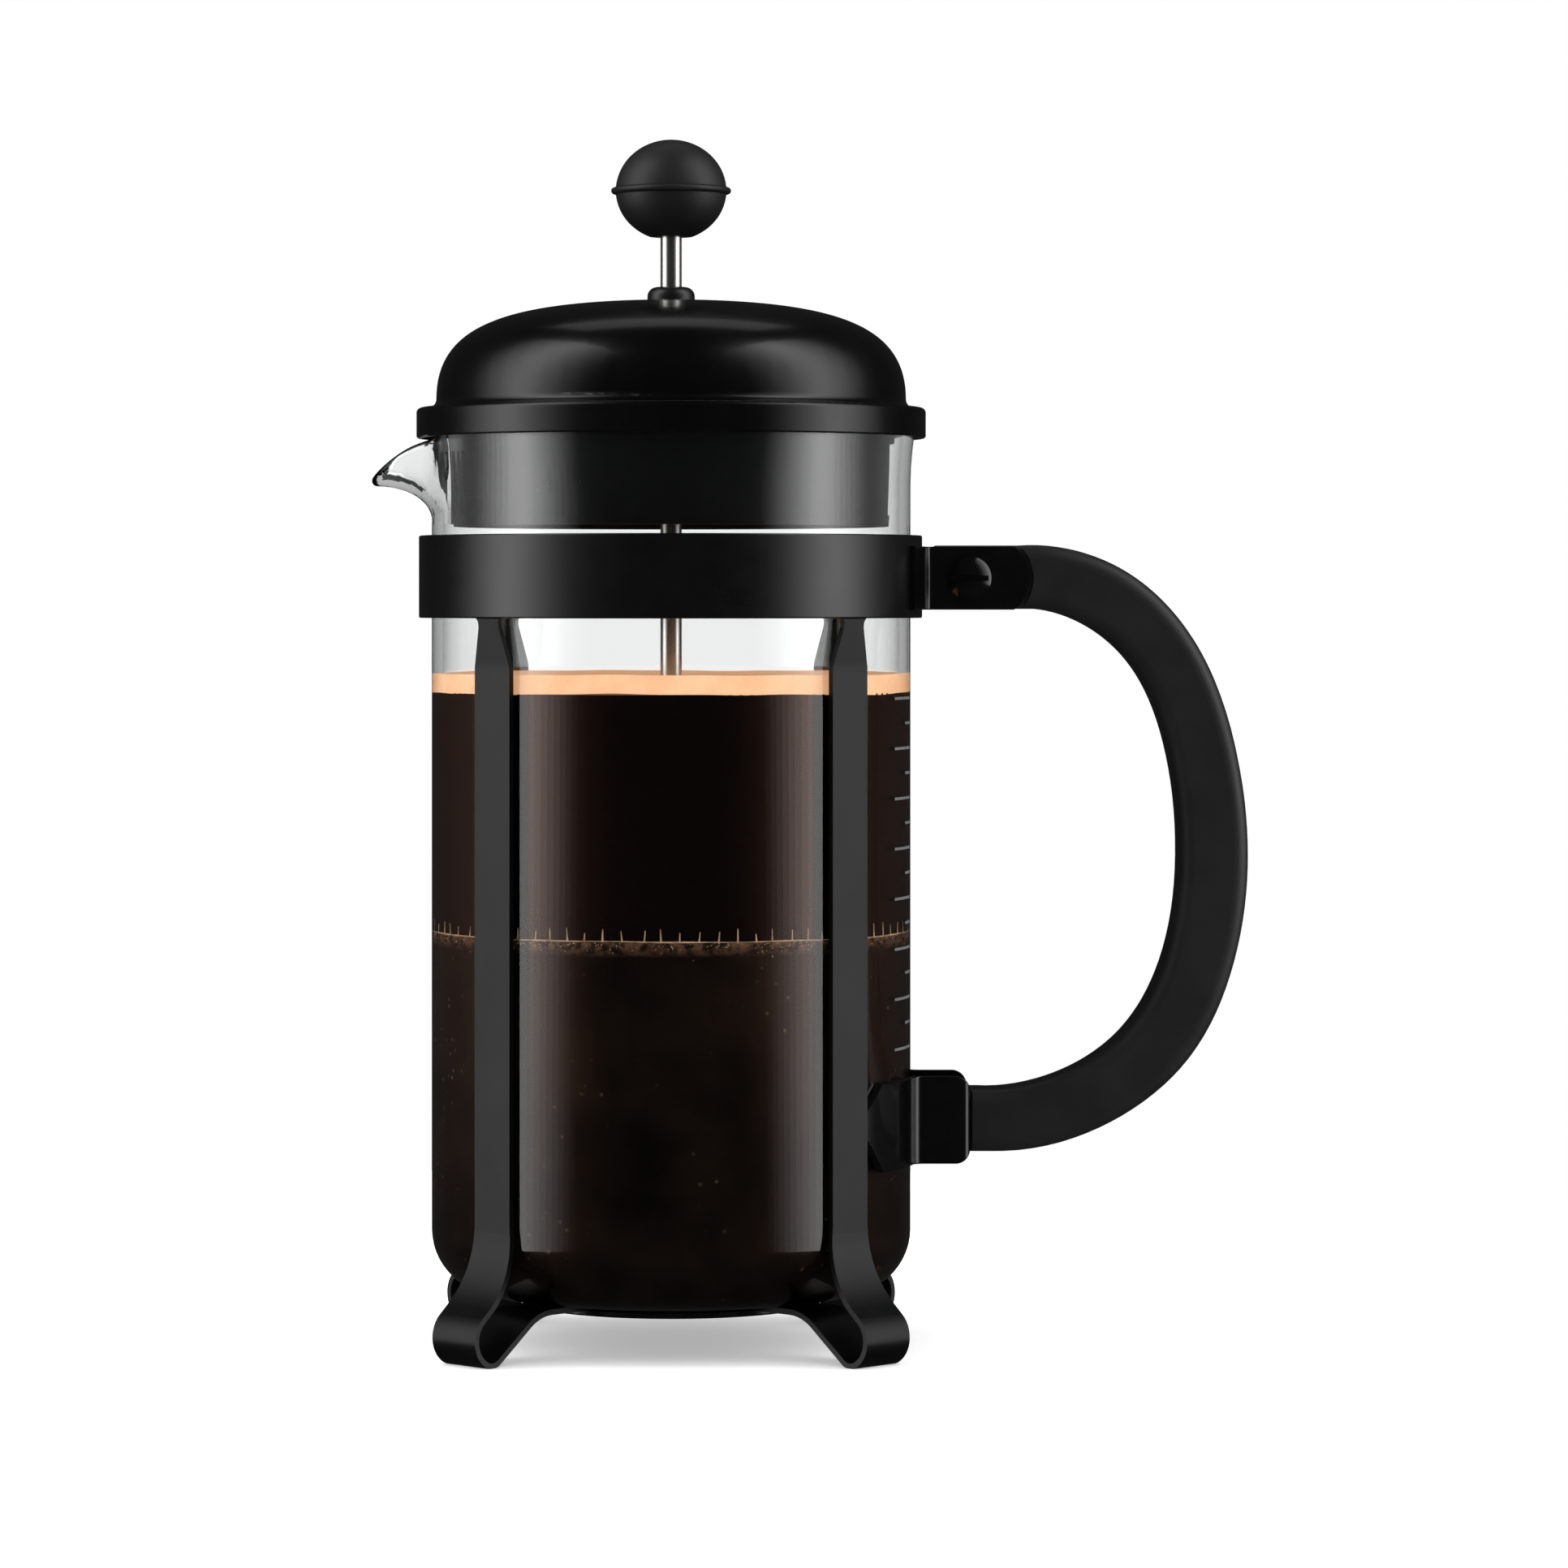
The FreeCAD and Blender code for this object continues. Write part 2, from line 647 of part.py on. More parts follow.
def glass_beaker():
    radius, wall, corner = dim("glass_radius"), dim("glass_wall"), dim("glass_corner")
    bottom, root, half_angle = dim("glass_bottom"), dim("spout_root"), dim("spout_half_angle")
    inner, inner_corner = radius - wall, corner - wall
    slant = math.sqrt(0.5)

    def at(r, z):
        return vec(r, 0, z)
    outer_mid = at(radius - corner * (1 - slant), bottom + corner * (1 - slant))
    inner_mid = at(inner - inner_corner * (1 - slant), bottom + wall + inner_corner * (1 - slant))
    cup = Part.Wire([
        Part.LineSegment(at(0, bottom), at(radius - corner, bottom)).toShape(),
        Part.Arc(at(radius - corner, bottom), outer_mid, at(radius, bottom + corner)).toShape(),
        Part.LineSegment(at(radius, bottom + corner), at(radius, root)).toShape(),
        Part.LineSegment(at(radius, root), at(inner, root)).toShape(),
        Part.LineSegment(at(inner, root), at(inner, bottom + corner)).toShape(),
        Part.Arc(at(inner, bottom + corner), inner_mid, at(radius - corner, bottom + wall)).toShape(),
        Part.LineSegment(at(radius - corner, bottom + wall), at(0, bottom + wall)).toShape(),
        Part.LineSegment(at(0, bottom + wall), at(0, bottom)).toShape(),
    ])
    axis = (vec(0, 0, 0), vec(0, 0, 1))
    solid = Part.Face(cup).revolve(*axis, 360)
    plain = Part.Face(section_wire(half_angle)).revolve(*axis, 360 - 2 * half_angle)
    steps = 18
    angles = [half_angle * (2.0 * i / steps - 1.0) for i in range(steps + 1)]
    spout = Part.makeLoft([section_wire(angle) for angle in angles], True, False)
    join_gap = 0.001          # lets the round wall and the spout share their seams
    beaker = solid.fuse([plain, spout], join_gap)
    return formed("glass_beaker", beaker.Solids[0])


# ---------------------------------------------------------------- lid

def dome_curve(inset, start):
    """Half of the dome's outline: flat on top, upright at the base."""
    top = dim("dome_top") - inset
    radius, base = dim("dome_radius") - inset, dim("dome_base")
    shoulder, side = 33.0 / 47.5, 15.3 / 19.9
    curve = Part.BezierCurve()
    curve.setPoles([vec(0, 0, top), vec(radius * shoulder, 0, top),
                    vec(radius, 0, base + (top - base) * side), vec(radius, 0, base)])
    low, high = 0.0, 1.0
    for _ in range(40):
        middle = (low + high) / 2.0
        if curve.value(middle).x < start:
            low = middle
        else:
            high = middle
    return curve.toShape(low, 1.0)


def lid_dome():
    bore = dim("guide_stem") + dim("fit_gap")
    wall = dim("lid_wall")
    radius, base = dim("dome_radius"), dim("dome_base")
    rim, low, high = dim("flange_radius"), dim("flange_bottom"), dim("flange_top")
    cove = base - high
    edge = 1.0
    slant = math.sqrt(0.5)
    outer = dome_curve(0.0, bore)
    inner = dome_curve(wall, bore)
    seat = dim("glass_top") + 0.8
    channel_out = rim - 1.2
    inner_wall = radius - wall

    def line(a, b):
        return Part.LineSegment(vec(a[0], 0, a[1]), vec(b[0], 0, b[1])).toShape()
    outer_start = outer.valueAt(outer.ParameterRange[0])
    inner_start = inner.valueAt(inner.ParameterRange[0])
    cove_mid = vec(radius + cove * (1 - slant), 0, high + cove * (1 - slant))
    edge_mid = vec(rim - edge * (1 - slant), 0, high - edge * (1 - slant))
    edges = [
        outer,
        Part.Arc(vec(radius, 0, base), cove_mid, vec(radius + cove, 0, high)).toShape(),
        line((radius + cove, high), (rim - edge, high)),
        Part.Arc(vec(rim - edge, 0, high), edge_mid, vec(rim, 0, high - edge)).toShape(),
        line((rim, high - edge), (rim, low + 0.3)),
        line((rim, low + 0.3), (rim - 0.3, low)),
        line((rim - 0.3, low), (channel_out, low)),
        line((channel_out, low), (channel_out, seat)),
        line((channel_out, seat), (inner_wall, seat)),
        line((inner_wall, seat), (inner_wall, base)),
        inner,
        line((inner_start.x, inner_start.z), (outer_start.x, outer_start.z)),
    ]
    profile = Part.Face(Part.Wire(Part.__sortEdges__(edges)))
    return formed("lid_dome", profile.revolve(vec(0, 0, 0), vec(0, 0, 1), 360))


def lid_strainer():
    """The sleeve inside the beaker's mouth, with upright slots towards the spout."""
    radius, taper = dim("sleeve_radius"), dim("sleeve_taper")
    wall, low = dim("sleeve_wall"), dim("sleeve_bottom")
    top = dim("dome_base")
    seat = dim("glass_top") - 2.0
    fixed, fixed_low = dim("dome_radius") - dim("lid_wall"), dim("glass_top") + 1.0
    points = [(radius - taper, low), (radius, seat), (radius, fixed_low), (fixed, fixed_low),
              (fixed, top), (radius - wall, top), (radius - wall, seat),
              (radius - taper - wall, low)]
    ring = [vec(r, 0, z) for r, z in points + points[:1]]
    sleeve = Part.Face(Part.makePolygon(ring)).revolve(vec(0, 0, 0), vec(0, 0, 1), 360)
    facet_x, facet_low = 42.9, low + 2.2    # a flat towards the handle
    sleeve = sleeve.cut(Part.makeBox(10, 40, 14.5, vec(facet_x, -20, facet_low)))
    slot_width, slot_low, slot_high, pitch = 1.1, low + 2.0, low + 15.0, 3.2
    slots = []
    for number in range(-8, 9):
        slot = Part.makeBox(8, slot_width, slot_high - slot_low, vec(-50, -slot_width / 2.0, slot_low))
        slot.rotate(vec(0, 0, 0), vec(0, 0, 1), number * pitch)
        slots.append(slot)
    return formed("lid_strainer", sleeve.cut(slots).Solids[0])


def rod_guide():
    """The round bush on top of the lid that the rod slides in."""
    bore = "rod_radius + fit_gap"
    crown = "dome_top + 0.05"
    guide = turned("rod_guide", [
        (bore, "dome_top - 7"), ("guide_stem", "dome_top - 7"),
        ("guide_stem", "dome_top - 4.6"), ("guide_stem - 0.6", "dome_top - 4.6"),
        ("guide_stem - 0.6", "dome_top - 3.7"), ("guide_stem", "dome_top - 3.7"),
        ("guide_stem", crown), ("guide_radius", crown),
        ("guide_radius", "guide_top"), (bore, "guide_top")],
        [("1.9", [("guide_radius", "guide_top")]), ("0.35", [(bore, "guide_top")])])
    finish(guide, "rod_guide")
    washer = flat_ring("guide_washer", "guide_radius + 1", "1.5", "dome_top - 3.6", "guide_stem")
    finish(washer, "guide_washer")
    ring = flat_ring("guide_clip_ring", "guide_stem + 1.4", "0.8", "dome_top - 4.55", "guide_stem - 0.6")
    gap = doc.addObject("Part::Box", "guide_clip_gap")
    gap.Length, gap.Width, gap.Height = 10.0, 1.6, 4.0
    gap.Placement.Base = vec(0, -0.8, dim("dome_top") - 6.0)
    clip = doc.addObject("Part::Cut", "guide_clip")
    clip.Base = ring
    clip.Tool = gap
    finish(clip, "guide_clip")


# ---------------------------------------------------------------- plunger

def half_ellipse(radius, height, level, cut):
    """Quarter of an ellipse from its widest point to where it is cut off near the axis."""
    points = []
    last = math.degrees(math.acos(cut / radius)) if cut else 90.0
    steps = 6
    for i in range(steps + 1):
        angle = math.radians(last * i / steps)
        points.append(vec(radius * math.cos(angle), 0, level + height * math.sin(angle)))
    return points


def knob_half(label, height, flat):
    """One half of the knob, with its share of the lip where the two halves meet."""
    level = dim("knob_middle")
    side = 1 if height > 0 else -1
    lip, lip_thick = dim("knob_lip"), 0.75
    radius = dim("knob_radius")
    curve = half_ellipse(radius, height, level, flat)
    neck = [p for p in curve if abs(p.z - level) > lip_thick]
    lip_root = vec(radius, 0, level + side * lip_thick)
    points = [lip_root] + neck
    inner_bore = dim("rod_radius") + 1.4
    edge = 0.65
    bead = [arc_point((lip - edge, level), edge, side * angle) for angle in (0, 40, 80)]
    bead = [vec(x, 0, z) for x, z in bead]
    edges = [Part.Arc(*bead).toShape(), Part.LineSegment(bead[-1], lip_root).toShape(), spline(points)]
    end = points[-1]
    top = vec(inner_bore, 0, end.z) if flat else None
    if flat:
        edges += [Part.LineSegment(end, top).toShape(),
                  Part.LineSegment(top, vec(inner_bore, 0, level)).toShape(),
                  Part.LineSegment(vec(inner_bore, 0, level), bead[0]).toShape()]
    else:
        edges += [Part.LineSegment(end, vec(0, 0, level)).toShape(),
                  Part.LineSegment(vec(0, 0, level), bead[0]).toShape()]
    profile = Part.Face(Part.Wire(Part.__sortEdges__(edges)))
    return formed(label, profile.revolve(vec(0, 0, 0), vec(0, 0, 1), 360))


def knob():
    knob_half("knob_cap", dim("knob_rise"), 0.0)
    cut_off = math.sqrt(1.0 - (dim("knob_flat") / dim("knob_radius")) ** 2)
    drop = (dim("knob_middle") - dim("knob_bottom")) / cut_off
    knob_half("knob_base", -drop, dim("knob_flat"))
    insert = turned("knob_insert", [
        ("rod_radius", "knob_bottom + 0.4"), ("rod_radius + 1.4", "knob_bottom + 0.4"),
        ("rod_radius + 1.4", "rod_top + 1"), ("0", "rod_top + 1"), ("0", "rod_top"),
        ("rod_radius", "rod_top")])
    finish(insert, "knob_insert")


def rod():
    tip = "rod_bottom + 0.6"
    bar = turned("plunger_rod", [
        ("0", "rod_bottom"), ("rod_radius - 0.6", "rod_bottom"), ("rod_radius", tip),
        ("rod_radius", "rod_top"), ("0", "rod_top")])
    finish(bar, "plunger_rod")


def sector(sketch, inner, outer, half_angle):
    """A closed ring sector about +X."""
    spots = [(inner, -half_angle), (outer, -half_angle), (outer, half_angle), (inner, half_angle)]
    points = [vec(*arc_point((0, 0), r, a), 0) for r, a in spots]
    middles = [vec(outer, 0, 0), vec(inner, 0, 0)]
    sketch.addGeometry(Part.LineSegment(points[0], points[1]), False)
    sketch.addGeometry(Part.Arc(points[1], middles[0], points[2]), False)
    sketch.addGeometry(Part.LineSegment(points[2], points[3]), False)
    sketch.addGeometry(Part.Arc(points[3], middles[1], points[0]), False)


def circle(sketch, radius, x, y):
    sketch.addGeometry(Part.Circle(vec(x, y, 0), vec(0, 0, 1), radius), False)


def filter_stack():
    bore = "rod_radius + fit_gap"
    low, high = "plate_level - screen_gauge", "plate_level"
    plate_edge = "spring_ring - spring_coil - 0.1"
    deep = 200.0
    upper = turned("spiral_plate", [
        (bore, high), (plate_edge, high), (plate_edge, "plate_level + 3.2"),
        (plate_edge + " - 0.6", "plate_level + 3.2"), (plate_edge + " - 0.6", "plate_level + 0.7"),
        (bore, "plate_level + 0.7")],
        [("0.25", [(plate_edge, high)])])
    pattern_holes(upper, "spiral_slot", lambda s: sector(s, 12.0, 36.0, 4.2), 24, deep)
    finish(upper, "spiral_plate")
    screen = turned("mesh_screen", [
        ("rod_radius + 2.4", low), ("screen_radius", low), ("screen_radius", "plate_level + 3.9"),
        ("screen_radius - screen_gauge", "plate_level + 3.9"),
        ("screen_radius - screen_gauge", high), ("rod_radius + 2.4", high)])
    finish(screen, "mesh_screen")
    eyelet = flat_ring("mesh_eyelet", "rod_radius + 2.4", "screen_gauge", low, bore)
    finish(eyelet, "mesh_eyelet")
    lower = turned("cross_plate", [
        (bore, low + " - 0.9"), ("40.5", low + " - 0.9"), ("42.2", low + " - 2.2"),
        ("42.8", low + " - 2.2"), ("42.8", low + " - 1.5"), ("41.2", low), (bore, low)])
    pattern_holes(lower, "cross_window", lambda s: sector(s, 12.5, 27.0, 36.0), 4, deep)
    pattern_holes(lower, "cross_hole", lambda s: circle(s, 2.6, 33.5, 0.0), 16, deep)
    finish(lower, "cross_plate")
    hub = turned("cross_plate_hub", [
        ("rod_radius", low + " - 5.2"), ("4.6", low + " - 5.2"), ("4.6", low + " - 2.1"),
        ("7.5", low + " - 2.1"), ("7.5", low + " - 0.9"), ("rod_radius", low + " - 0.9")],
        [("0.5", [("4.6", low + " - 5.2")])])
    finish(hub, "cross_plate_hub")
    collar = turned("rod_collar", [
        ("rod_radius", "plate_level + 0.7"), ("6.5", "plate_level + 0.7"),
        ("6.5", "plate_level + 1.7"), ("3.6", "plate_level + 3.4"), ("rod_radius", "plate_level + 3.4")])
    finish(collar, "rod_collar")
    level = "plate_level + spring_coil"
    coil = doc.addObject("Part::Torus", "filter_spring_outer")
    drive(coil, Radius1="spring_ring", Radius2="spring_coil")
    core = doc.addObject("Part::Torus", "filter_spring_core")
    drive(core, Radius1="spring_ring", Radius2="spring_coil - spring_wire")
    for torus in (coil, core):
        torus.setExpression("Placement.Base.z", bound(level))
    spring = doc.addObject("Part::Cut", "filter_spring")
    spring.Base = coil
    spring.Tool = core
    finish(spring, "filter_spring")


# ---------------------------------------------------------------- assembly

frame_band()
legs()
base_disc()
front_bracket = upper_bracket()
formed("upper_bracket_front", front_bracket)
formed("upper_bracket_back", mirrored(front_bracket))
front_clip = lower_clip()
formed("lower_clip_front", front_clip)
formed("lower_clip_back", mirrored(front_clip))
handle()
handle_fastening()
glass_beaker()
lid_dome()
lid_strainer()
rod_guide()
knob()
rod()
filter_stack()
doc.recompute()

for obj in doc.Objects:
    if "Invalid" in obj.State or "Error" in obj.State:
        raise RuntimeError("%s did not build: %s" % (obj.Label, obj.State))
for obj in subparts:
    if obj.Shape.isNull() or not obj.Shape.isValid():
        raise RuntimeError(obj.Label + " has no sound shape")

os.makedirs("parts", exist_ok=True)
for obj in subparts:
    obj.Shape.exportStep("parts/%s.step" % obj.Label)
    box = obj.Shape.BoundBox
    print("%-20s %9.1f mm3  %d solid  x %7.2f %7.2f  y %7.2f %7.2f  z %7.2f %7.2f" % (
        obj.Label, obj.Shape.Volume, len(obj.Shape.Solids),
        box.XMin, box.XMax, box.YMin, box.YMax, box.ZMin, box.ZMax))
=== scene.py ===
import math
import random

import bmesh
import bpy
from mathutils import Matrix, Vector


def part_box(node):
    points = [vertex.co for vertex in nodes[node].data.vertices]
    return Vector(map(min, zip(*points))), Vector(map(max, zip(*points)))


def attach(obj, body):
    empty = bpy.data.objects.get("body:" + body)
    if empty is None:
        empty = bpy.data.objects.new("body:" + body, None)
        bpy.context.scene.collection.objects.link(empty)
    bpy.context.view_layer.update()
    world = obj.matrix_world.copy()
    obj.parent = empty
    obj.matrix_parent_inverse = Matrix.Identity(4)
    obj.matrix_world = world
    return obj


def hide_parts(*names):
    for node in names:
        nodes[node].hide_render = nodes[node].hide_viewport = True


MM = 0.001

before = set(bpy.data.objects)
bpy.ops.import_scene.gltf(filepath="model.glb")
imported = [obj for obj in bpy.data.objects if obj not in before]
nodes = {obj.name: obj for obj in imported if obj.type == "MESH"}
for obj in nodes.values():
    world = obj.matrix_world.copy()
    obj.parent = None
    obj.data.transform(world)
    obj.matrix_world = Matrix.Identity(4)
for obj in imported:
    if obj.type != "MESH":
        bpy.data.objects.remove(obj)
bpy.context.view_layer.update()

# What the beaker holds, in metres above the surface that the press stands on
CREMA_TOP = 135.2 * MM
CREMA_LOW = 131.4 * MM
BED_LEVEL = 83.3 * MM
CORNER = 10.3 * MM            # inside corner of the beaker's floor
WETTING = 0.05 * MM           # the coffee reaches this far into the glass, so no air lies between

# The studio, in metres
FLOOR_REACH = 0.36            # radius of the table top
FLOOR_SHADE = 0.05            # the table top's painted glow is weakest inside this radius, a painted shadow
CAMERA_PLACE = (-1.19, 0.1498)    # along Y, and above the table top
AIM_HEIGHT = 0.12             # what the lights point at
PANELS = 9                    # in each side light
SIDE_AZIMUTH = 77.0
SIDE_DISTANCE, SIDE_HEIGHT, SIDE_TALL = 1.3, 0.7, 2.4
WHITE = (1.0, 1.0, 1.0, 1.0)


def ring_radii(node, level, reach=0.5 * MM):
    """Smallest and largest distance from the axis of a node's points near a level."""
    points = [v.co for v in nodes[node].data.vertices if abs(v.co.z - level) < reach]
    radii = [math.hypot(p.x - AXIS_X, p.y) for p in points]
    return min(radii), max(radii)


rod_low, rod_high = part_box("plunger_rod")
AXIS_X = (rod_low.x + rod_high.x) / 2.0
glass_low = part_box("glass_beaker")[0]
WALL_TOP = 165.0 * MM         # the beaker's wall is plain up to here
INNER, OUTER = ring_radii("glass_beaker", WALL_TOP)
FLOOR = glass_low.z + (OUTER - INNER)


# ------------------------------------------------------------------ materials

class Look:
    """A principled material whose texture nodes are added with short calls."""

    def __init__(self, name, colour, roughness, **sockets):
        self.material = bpy.data.materials.new(name)
        self.material.use_nodes = True
        self.tree = self.material.node_tree
        self.shader = self.tree.nodes["Principled BSDF"]
        self.colour, self.roughness = colour, roughness
        self.shader.inputs["Base Color"].default_value = (*colour, 1.0)
        self.shader.inputs["Roughness"].default_value = roughness
        for socket, number in sockets.items():
            self.shader.inputs[socket.replace("_", " ")].default_value = number
        self.coords = self.tree.nodes.new("ShaderNodeTexCoord")

    def node(self, kind, inputs=None, **settings):
        made = self.tree.nodes.new(kind)
        for name, setting in settings.items():
            setattr(made, name, setting)
        for socket, number in (inputs or {}).items():
            made.inputs[socket].default_value = number
        return made

    def link(self, output, socket):
        self.tree.links.new(output, socket)

    def stretched(self, scale):
        """Object coordinates, scaled apart along X, Y and Z."""
        mapping = self.node("ShaderNodeMapping", {"Scale": scale})
        self.link(self.coords.outputs["Object"], mapping.inputs["Vector"])
        return mapping.outputs["Vector"]

    def noise(self, scale, detail=3.0, stretch=(1.0, 1.0, 1.0), rough=0.55):
        made = self.node("ShaderNodeTexNoise", {"Scale": scale, "Detail": detail, "Roughness": rough})
        self.link(self.stretched(stretch), made.inputs["Vector"])
        return made.outputs["Fac"]

    def cells(self, scale, feature="F1", stretch=(1.0, 1.0, 1.0)):
        made = self.node("ShaderNodeTexVoronoi", {"Scale": scale}, feature=feature)
        self.link(self.stretched(stretch), made.inputs["Vector"])
        return made.outputs["Distance"]

    def height(self):
        """The Z of the point, in metres."""
        split = self.node("ShaderNodeSeparateXYZ")
        self.link(self.coords.outputs["Object"], split.inputs["Vector"])
        return split.outputs["Z"]

    def spread(self, output, low, high, to_low=0.0, to_high=1.0):
        """Maps a range of one output on to another range, and holds it there."""
        made = self.node("ShaderNodeMapRange", {"From Min": low, "From Max": high,
                                                "To Min": to_low, "To Max": to_high})
        self.link(output, made.inputs["Value"])
        return made.outputs["Result"]

    def maths(self, operation, first, second):
        made = self.node("ShaderNodeMath", operation=operation)
        for socket, given in zip(made.inputs, (first, second)):
            if isinstance(given, float):
                socket.default_value = given
            else:
                self.link(given, socket)
        return made.outputs["Value"]

    def blend(self, factor, first, second):
        """A colour between two others; either may be a colour or another blend's output."""
        made = self.node("ShaderNodeMix", data_type="RGBA")
        self.link(factor, made.inputs["Factor"])
        for socket, given in ((made.inputs["A"], first), (made.inputs["B"], second)):
            socket = [s for s in made.inputs if s.name == socket.name and s.type == "RGBA"][0]
            if isinstance(given, tuple):
                socket.default_value = (*given, 1.0)
            else:
                self.link(given, socket)
        return [s for s in made.outputs if s.type == "RGBA"][0]

    def paint(self, output):
        self.link(output, self.shader.inputs["Base Color"])

    def vary_colour(self, output, share):
        """The base colour, a little darker and lighter from place to place."""
        dark = tuple(c * (1.0 - share) for c in self.colour)
        light = tuple(min(1.0, c * (1.0 + share)) for c in self.colour)
        self.paint(self.blend(self.spread(output, 0.3, 0.7), dark, light))

    def vary_roughness(self, output, amount):
        low, high = self.roughness - amount, self.roughness + amount
        self.link(self.spread(output, 0.3, 0.7, low, high), self.shader.inputs["Roughness"])

    def bump(self, output, strength, distance):
        made = self.node("ShaderNodeBump", {"Strength": strength, "Distance": distance})
        self.link(output, made.inputs["Height"])
        self.link(made.outputs["Normal"], self.shader.inputs["Normal"])


def black_paint(name, roughness, gloss=0.5):
    """Baked black paint on sheet steel, with the faint ripple of sprayed paint."""
    look = Look(name, (0.002, 0.002, 0.0022), roughness, Specular_IOR_Level=gloss,
                Coat_Weight=0.15, Coat_Roughness=roughness * 0.6)
    look.vary_colour(look.noise(240.0), 0.2)
    look.vary_roughness(look.noise(70.0), 0.035)
    look.bump(look.noise(650.0, detail=2.0), 0.025, 0.1 * MM)
    return look.material


def moulded(name, colour, roughness, grain, depth, **sockets):
    """Moulded plastic with a fine spark-eroded grain."""
    look = Look(name, colour, roughness, **sockets)
    look.vary_colour(look.noise(90.0), 0.15)
    look.vary_roughness(look.noise(45.0), 0.04)
    look.bump(look.noise(grain, detail=4.0), depth, 0.08 * MM)
    return look.material


def steel(name, colour, roughness, stretch, lines, depth):
    """Stainless steel with fine lines left by drawing or turning."""
    look = Look(name, colour, roughness, Metallic=1.0)
    grain = look.noise(lines, detail=3.0, stretch=stretch)
    look.vary_colour(grain, 0.08)
    look.vary_roughness(grain, 0.05)
    look.bump(grain, depth, 0.02 * MM)
    return look.material


def woven_mesh():
    """Fine square weave: two sets of wires at right angles that pass over each other."""
    look = Look("woven_mesh", (0.5, 0.49, 0.47), 0.32, Metallic=1.0)
    pitch = 0.7 * MM
    scale = 2.0 * math.pi / (20.0 * pitch)    # a wave texture repeats twenty times in 2 pi
    bands = []
    for axis in ("X", "Y"):
        made = look.node("ShaderNodeTexWave", {"Scale": scale}, bands_direction=axis)
        look.link(look.coords.outputs["Object"], made.inputs["Vector"])
        bands.append(made.outputs["Fac"])
    wires = look.maths("MAXIMUM", *bands)
    tint = look.blend(look.spread(wires, 0.55, 0.95), (0.08, 0.075, 0.07), (0.62, 0.61, 0.58))
    stain = look.spread(look.noise(90.0), 0.45, 0.75)
    look.paint(look.blend(look.maths("MULTIPLY", stain, 0.35), tint, (0.2, 0.13, 0.08)))
    look.bump(wires, 0.6, 0.12 * MM)
    return look.material


def clear_glass():
    look = Look("clear_glass", (0.985, 0.995, 0.99), 0.0, Transmission_Weight=1.0, IOR=1.47)
    look.bump(look.noise(28.0, detail=1.0), 0.008, 0.4 * MM)
    return look.material


def brewed_coffee():
    """Clear dark coffee: nearly black, with a painted red-brown tint on its sheen and reflections
    that stands in for light coming through.
    """
    look = Look("brewed_coffee", (0.01, 0.004, 0.0025), 0.27, Specular_IOR_Level=0.5,
                Sheen_Weight=0.12, Sheen_Roughness=0.3)
    # The red-brown sheen tint and specular tint are painted colour that stands in for light coming
    # through the coffee.
    look.shader.inputs["Sheen Tint"].default_value = (0.6, 0.16, 0.07, 1.0)
    look.shader.inputs["Specular Tint"].default_value = (1.0, 0.5, 0.37, 1.0)
    cloud = look.spread(look.noise(22.0, detail=2.0, stretch=(1.0, 1.0, 0.35)), 0.35, 0.7)
    look.paint(look.blend(cloud, (0.0008, 0.0003, 0.0002), (0.003, 0.0011, 0.0007)))
    look.bump(look.noise(12.0, detail=1.0), 0.01, 0.1 * MM)
    return look.material


def coffee_bed():
    """Murky coffee below the line, with a crust of grounds on top and loose specks in it."""
    look = Look("coffee_bed", (0.02, 0.01, 0.007), 0.3, Specular_IOR_Level=0.5)
    look.shader.inputs["Specular Tint"].default_value = (1.0, 0.55, 0.42, 1.0)
    murk = look.spread(look.noise(55.0, detail=5.0), 0.35, 0.7)
    base = look.blend(murk, (0.001, 0.0006, 0.0005), (0.011, 0.0056, 0.0038))
    near_top = look.spread(look.height(), BED_LEVEL - 3.0 * MM, BED_LEVEL - 0.8 * MM)
    crumbs = look.spread(look.noise(620.0, detail=4.0, rough=0.7), 0.42, 0.58)
    crust = look.maths("MULTIPLY", near_top, crumbs)
    base = look.blend(crust, base, (0.15, 0.078, 0.04))
    speck = look.spread(look.cells(400.0), 0.2, 0.06)
    sparse = look.spread(look.noise(60.0, detail=3.0), 0.5, 0.68)
    specks = look.maths("MULTIPLY", look.maths("MULTIPLY", speck, sparse), 0.7)
    look.paint(look.blend(specks, base, (0.26, 0.15, 0.075)))
    look.bump(look.noise(40.0, detail=2.0), 0.02, 0.1 * MM)
    return look.material


def crema():
    """Pale tan foam with fine bubbles, and a painted glow: its emission brightens it though it is no
    lamp.
    """
    # Emission strength 0.5 is a painted glow that brightens the foam.
    look = Look("crema", (0.8, 0.44, 0.23), 0.55, Specular_IOR_Level=0.1,
                Emission_Strength=0.5)
    patches = look.spread(look.noise(130.0, detail=4.0), 0.35, 0.7)
    tan = look.blend(patches, (0.86, 0.5, 0.28), (0.98, 0.68, 0.44))
    fine = look.spread(look.cells(1500.0), 0.25, 0.02)
    look.paint(look.blend(look.maths("MULTIPLY", fine, 0.45), tan, (0.99, 0.8, 0.6)))
    # The orange colour of the foam's painted glow.
    look.shader.inputs["Emission Color"].default_value = (1.0, 0.52, 0.27, 1.0)
    look.bump(look.cells(1100.0), 0.3, 0.2 * MM)
    return look.material


def husk():
    """The pale fibres and the thin line that the filter's edge leaves on the glass."""
    look = Look("coffee_husk", (0.52, 0.33, 0.18), 0.6)
    look.vary_colour(look.noise(420.0, detail=3.0), 0.55)
    look.bump(look.noise(2500.0), 0.3, 0.05 * MM)
    return look.material


def printed_grey():
    """Fired grey print on glass."""
    look = Look("printed_grey", (0.14, 0.14, 0.14), 0.5)
    look.vary_colour(look.noise(900.0, detail=4.0), 0.25)
    look.bump(look.noise(3000.0), 0.1, 0.02 * MM)
    return look.material


